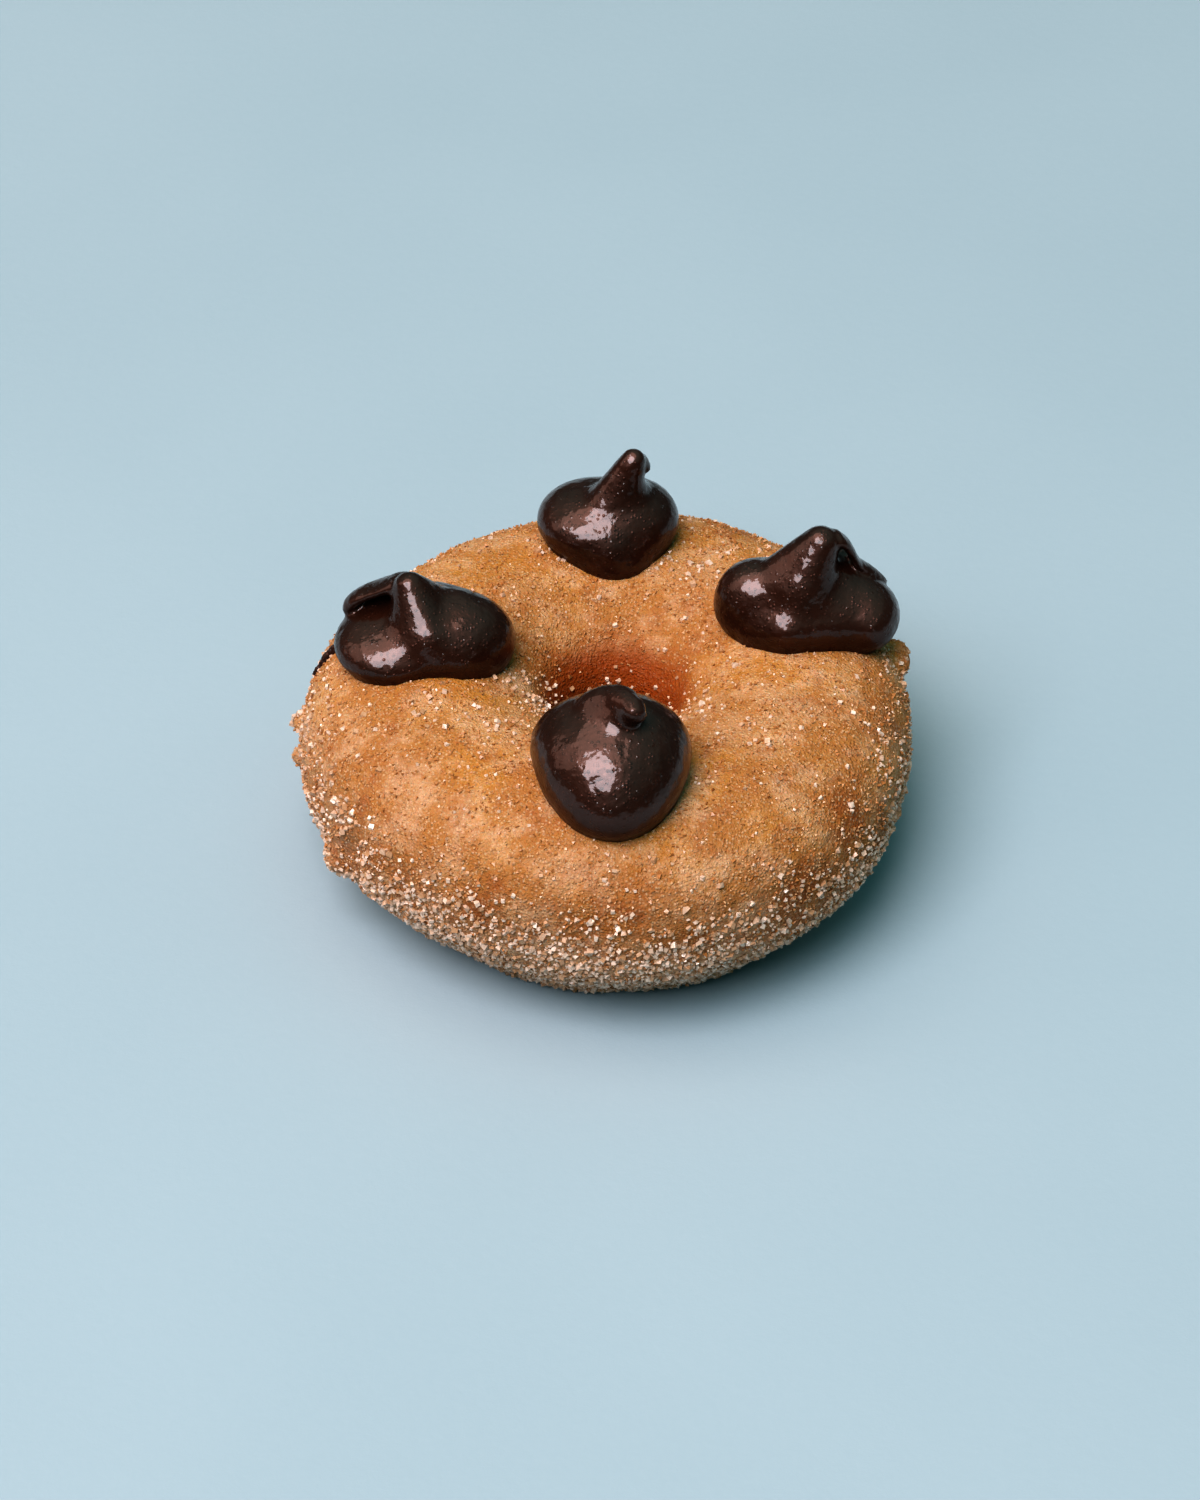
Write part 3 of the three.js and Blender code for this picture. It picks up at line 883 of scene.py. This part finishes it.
def make_drop(name, settings, crust, material):
    """One drop of chocolate with its drawn-out tip, sunk a little into the crust."""
    shape = cad_copy(DROPS[name])
    for balls in TIPS[name]:
        add_skin(shape, balls)
    if name in THREADS:
        add_thread(shape, THREADS[name])
    piece = grown(name, shape, settings.voxel, settings.smoothing)
    melted(piece, MELTS[name], settings.melting)
    seat(piece, crust, settings.seat_reach, settings.seat_sink)
    piece.data.materials.append(material)
    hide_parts(DROPS[name])
    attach(piece, "root")


def make_grains(name, base, tree, size, material):
    """One kind of grain as a single mesh on the crust."""
    values = {**STREWING[name], "Grain Size": size, "Material": material}
    piece = run_tree(new_object(name, base.copy()), tree, values)
    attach(piece, "root")


# Stage

def make_floor(settings):
    """A wide round floor."""
    shape = bmesh.new()
    bmesh.ops.create_circle(shape, cap_ends=True, segments=96, radius=settings.floor_radius)
    mesh = bpy.data.meshes.new("floor")
    shape.to_mesh(mesh)
    shape.free()
    mesh.materials.append(floor_material(settings))
    new_object("floor", mesh)


def make_light(name, size, power, colour):
    """A round soft light that faces the doughnut from its place in LIGHTS."""
    azimuth, elevation, reach = LIGHTS[name]
    light = bpy.data.lights.new(name, "AREA")
    light.shape = "DISK"
    light.size = size
    light.energy = power
    light.color = colour
    lamp = bpy.data.objects.new(name, light)
    turn, lift = math.radians(azimuth), math.radians(elevation)
    way = Vector((math.sin(turn) * math.cos(lift), -math.cos(turn) * math.cos(lift), math.sin(lift)))
    lamp.location = way * reach
    lamp.rotation_euler = way.to_track_quat("Z", "Y").to_euler()
    bpy.context.scene.collection.objects.link(lamp)


def make_world(settings):
    """A cool surround, dim near the table, that the camera sees as a pale backdrop."""
    world = bpy.data.worlds.new("surround")
    world.use_nodes = True
    tree = world.node_tree
    ambient = tree.nodes["Background"]
    way = tree.nodes.new("ShaderNodeTexCoord").outputs["Generated"]
    height = fade(tree, coordinate(tree, way, "Z"), HORIZON, 1.0)
    around = mixed(tree, height, rgba(settings.ambient_low), rgba(settings.ambient_high))
    tree.links.new(around, ambient.inputs["Color"])
    backdrop = add(tree, "ShaderNodeBackground", {"Color": rgba(settings.backdrop)})
    seen = tree.nodes.new("ShaderNodeLightPath").outputs["Is Camera Ray"]
    both = tree.nodes.new("ShaderNodeMixShader")
    tree.links.new(seen, both.inputs[0])
    tree.links.new(ambient.outputs[0], both.inputs[1])
    tree.links.new(backdrop.outputs[0], both.inputs[2])
    tree.links.new(both.outputs[0], tree.nodes["World Output"].inputs["Surface"])
    bpy.context.scene.world = world


def make_camera(settings):
    """The camera, some forty degrees above the table in front of the doughnut."""
    camera = bpy.data.cameras.new("camera")
    camera.lens = settings.lens
    camera.clip_start = 10 * MM
    holder = bpy.data.objects.new("camera", camera)
    holder.location = settings.eye
    holder.rotation_euler = (holder.location - Vector(settings.aim)).to_track_quat("Z", "Y").to_euler()
    bpy.context.scene.collection.objects.link(holder)
    bpy.context.scene.camera = holder


# Settings

def length(name, description, default):
    """A setting that is a length in metres."""
    return FloatProperty(name=name, description=description, default=default, min=0.0,
                         unit="LENGTH", precision=5)


def colour(name, description, default):
    """A setting that is a linear colour."""
    return FloatVectorProperty(name=name, description=description, default=default, size=3,
                               min=0.0, max=1.0, subtype="COLOR")


class CrustSettings(bpy.types.PropertyGroup):
    """Sizes and colours of the crust."""
    voxel: length("Mesh Size", "Side of the squares that the crust's mesh is made of", 0.52 * MM)
    smoothing: IntProperty(name="Smoothing", description="Rounds of smoothing", default=12, min=0)
    lump_size: length("Lump Size", "Width of the soft lumps", 7 * MM)
    lump_height: length("Lump Height", "Height of the soft lumps", 0.7 * MM)
    crumb_size: length("Crumb Size", "Width of the crumb", 1.5 * MM)
    crumb_height: length("Crumb Height", "Height of the crumb", 0.35 * MM)
    pit_size: length("Pit Size", "How far apart the pits lie", 3.2 * MM)
    pit_depth: length("Pit Depth", "Depth of the pits", 0.4 * MM)
    tuck: length("Tuck", "How far the lower belly is drawn in", 1.5 * MM)
    grain: length("Grain", "Width of the grains stuck in the skin", 0.42 * MM)
    gold: colour("Gold", "Well fried dough", (0.36, 0.168, 0.050))
    amber: colour("Amber", "Bare, oily dough", (0.40, 0.186, 0.041))
    cinnamon_dust: colour("Cinnamon Dust", "Dough under cinnamon sugar", (0.29, 0.115, 0.041))
    # Darker fried dough. Also used as the painted shade between the grains and, in the lower-right brown
    # patches, as painted shade of that side.
    brown: colour("Brown", "Darker fried dough", (0.24, 0.072, 0.016))
    # Dough inside the hole, with the hole's shade and reddened bounce light painted in.
    throat: colour("Throat", "Dough inside the hole", (0.24, 0.052, 0.004))
    # Dough under thick sugar. Also used as the painted highlight on the grains' middles.
    sugared_dough_and_grain_highlight: colour("Sugared Dough", "Dough under thick sugar", (0.56, 0.375, 0.235))
    fleck: colour("Fleck", "Fine dark flecks of cinnamon", (0.15, 0.050, 0.016))


class ChocolateSettings(bpy.types.PropertyGroup):
    """Sizes and colours of the chocolate drops."""
    voxel: length("Mesh Size", "Side of the squares that a drop's mesh is made of", 0.27 * MM)
    smoothing: IntProperty(name="Smoothing", description="Rounds of smoothing", default=8, min=0)
    melting: IntProperty(name="Melting", description="Rounds of smoothing under the tips", default=220,
                         min=0)
    seat_reach: length("Seat Reach", "Depth of the drop's underside that is seated", 0.9 * MM)
    seat_sink: length("Seat Sink", "How far the underside is pushed down", 1.0 * MM)
    bubble: length("Bubble", "Width of the fine bubbles", 0.42 * MM)
    bead: length("Bead", "How far apart the beads that glint lie", 0.9 * MM)
    dark: colour("Dark", "Ganache", (0.015, 0.0056, 0.0026))
    light: colour("Light", "Paler streaks in the ganache", (0.027, 0.0095, 0.005))


class SugarSettings(bpy.types.PropertyGroup):
    """Sizes and colours of the cinnamon sugar."""
    fine: length("Fine", "Width of the fine grains", 0.36 * MM)
    medium: length("Medium", "Width of the medium grains", 0.52 * MM)
    coarse: length("Coarse", "Width of the coarse grains", 0.70 * MM)
    dust: length("Dust", "Width of the finest grains", 0.40 * MM)
    speck: length("Speck", "Width of the cinnamon specks", 0.15 * MM)
    crystal: colour("Crystal", "Clean sugar", (0.76, 0.60, 0.48))
    dusty_crystal: colour("Dusty Crystal", "The finest sugar", (0.56, 0.36, 0.20))
    amber_crystal: colour("Amber Crystal", "The finest sugar, soaked with oil", (0.37, 0.160, 0.050))
    tinged_crystal: colour("Tinged Crystal", "Sugar with cinnamon on it", (0.50, 0.29, 0.155))
    bark: colour("Bark", "Cinnamon", (0.09, 0.030, 0.011))
    bark_light: colour("Light Bark", "Paler cinnamon", (0.20, 0.072, 0.026))


class StageSettings(bpy.types.PropertyGroup):
    """The floor, the lights and the camera."""
    floor_radius: length("Floor Radius", "Radius of the floor", 4.0)
    floor: colour("Floor", "Pale blue paper", (0.279, 0.364, 0.403))
    floor_light: colour("Light Floor", "Paler clouds in the paper", (0.289, 0.374, 0.413))
    ambient_low: colour("Low Ambient", "Cool light from near the table", (0.03, 0.05, 0.055))
    ambient_high: colour("High Ambient", "Cool light from above", (0.215, 0.49, 0.48))
    backdrop: colour("Backdrop", "What is seen past the floor", (0.47, 0.60, 0.68))
    key_size: length("Key Size", "Width of the compact light that gives the highlights", 1.45)
    key_power: FloatProperty(name="Key Power", description="Power of the compact light", default=37.5,
                             min=0.0, unit="POWER")
    key_tint: colour("Key Tint", "Colour of the compact light", (1.0, 0.93, 1.0))
    window_size: length("Window Size", "Width of the broad light on the left", 2.2)
    window_power: FloatProperty(name="Window Power", description="Power of the broad light", default=24.0,
                                min=0.0, unit="POWER")
    window_tint: colour("Window Tint", "Colour of the broad light", (1.0, 0.60, 0.50))
    wall_size: length("Wall Size", "Width of the lit wall on the left", 1.3)
    wall_power: FloatProperty(name="Wall Power", description="Power of the lit wall", default=5.0,
                              min=0.0, unit="POWER")
    lens: FloatProperty(name="Lens", description="Focal length in millimetres", default=88.96, min=1.0)
    eye: FloatVectorProperty(name="Eye", description="Where the camera stands", subtype="XYZ",
                             unit="LENGTH", default=(0.000708, -0.3948, 0.3531))
    aim: FloatVectorProperty(name="Aim", description="What the camera looks at", subtype="XYZ",
                             unit="LENGTH", default=(-0.000772, -0.000387, 0.01674))


# Operators

class DOUGHNUT_OT_crust(bpy.types.Operator):
    """Make the fried crust of the ring"""
    bl_idname = "doughnut.crust"
    bl_label = "Crust"

    def execute(self, context):
        make_crust(context.scene.doughnut_crust)
        return {"FINISHED"}


class DOUGHNUT_OT_chocolate(bpy.types.Operator):
    """Make the four chocolate drops on the crust"""
    bl_idname = "doughnut.chocolate"
    bl_label = "Chocolate Drops"

    def execute(self, context):
        settings = context.scene.doughnut_chocolate
        crust = surface(bpy.data.objects["crust"])
        material = chocolate_material(settings)
        for name in DROPS:
            make_drop(name, settings, crust, material)
        return {"FINISHED"}


class DOUGHNUT_OT_sugar(bpy.types.Operator):
    """Strew four sizes of sugar crystals and the cinnamon specks over the crust"""
    bl_idname = "doughnut.sugar"
    bl_label = "Cinnamon Sugar"

    def execute(self, context):
        settings = context.scene.doughnut_sugar
        base = bpy.data.objects["crust"].data.copy()
        mark_bare(base, [surface(bpy.data.objects[drop]) for drop in DROPS])
        blocks = scatter_tree("block_scatter", block)
        chips = scatter_tree("chip_scatter", chip)
        dusty = sugar_material(
            "dusty_sugar", settings.dusty_crystal, settings.amber_crystal, clean_share=0.0, clearness=0.0)
        clear = sugar_material(
            "sugar_crystal", settings.crystal, settings.tinged_crystal, clean_share=0.3, clearness=0.15)
        bark = cinnamon_material(settings)
        make_grains("sugar_dust", base, chips, settings.dust, dusty)
        make_grains("sugar_fine", base, blocks, settings.fine, clear)
        make_grains("sugar_medium", base, blocks, settings.medium, clear)
        make_grains("sugar_coarse", base, blocks, settings.coarse, clear)
        make_grains("cinnamon_specks", base, chips, settings.speck, bark)
        return {"FINISHED"}


class DOUGHNUT_OT_stage(bpy.types.Operator):
    """Set the floor, the lights and the camera"""
    bl_idname = "doughnut.stage"
    bl_label = "Stage"

    def execute(self, context):
        settings = context.scene.doughnut_stage
        make_floor(settings)
        make_light("key", settings.key_size, settings.key_power, settings.key_tint)
        make_light("window", settings.window_size, settings.window_power, settings.window_tint)
        make_light("wall", settings.wall_size, settings.wall_power, settings.window_tint)
        make_world(settings)
        make_camera(settings)
        context.scene.view_settings.view_transform = "Standard"
        context.scene.view_settings.look = "High Contrast"
        return {"FINISHED"}


class DOUGHNUT_PT_panel(bpy.types.Panel):
    """The doughnut's pieces and their settings"""
    bl_idname = "DOUGHNUT_PT_panel"
    bl_label = "Doughnut"
    bl_space_type = "VIEW_3D"
    bl_region_type = "UI"
    bl_category = "Doughnut"

    def draw(self, context):
        for operator, group in STEPS.items():
            self.layout.operator(operator)
            settings = getattr(context.scene, group)
            for name in settings.__annotations__:
                self.layout.prop(settings, name)


STEPS = {
    "doughnut.crust": "doughnut_crust",
    "doughnut.chocolate": "doughnut_chocolate",
    "doughnut.sugar": "doughnut_sugar",
    "doughnut.stage": "doughnut_stage",
}
GROUPS = {
    "doughnut_crust": CrustSettings,
    "doughnut_chocolate": ChocolateSettings,
    "doughnut_sugar": SugarSettings,
    "doughnut_stage": StageSettings,
}
CLASSES = [
    *GROUPS.values(),
    DOUGHNUT_OT_crust,
    DOUGHNUT_OT_chocolate,
    DOUGHNUT_OT_sugar,
    DOUGHNUT_OT_stage,
    DOUGHNUT_PT_panel,
]


def register():
    for entry in CLASSES:
        bpy.utils.register_class(entry)
    for name, group in GROUPS.items():
        setattr(bpy.types.Scene, name, PointerProperty(type=group))


def unregister():
    for name in GROUPS:
        delattr(bpy.types.Scene, name)
    for entry in reversed(CLASSES):
        bpy.utils.unregister_class(entry)


def main():
    register()
    bpy.ops.doughnut.crust()
    bpy.ops.doughnut.chocolate()
    bpy.ops.doughnut.sugar()
    bpy.ops.doughnut.stage()


if __name__ == "__main__":
    main()
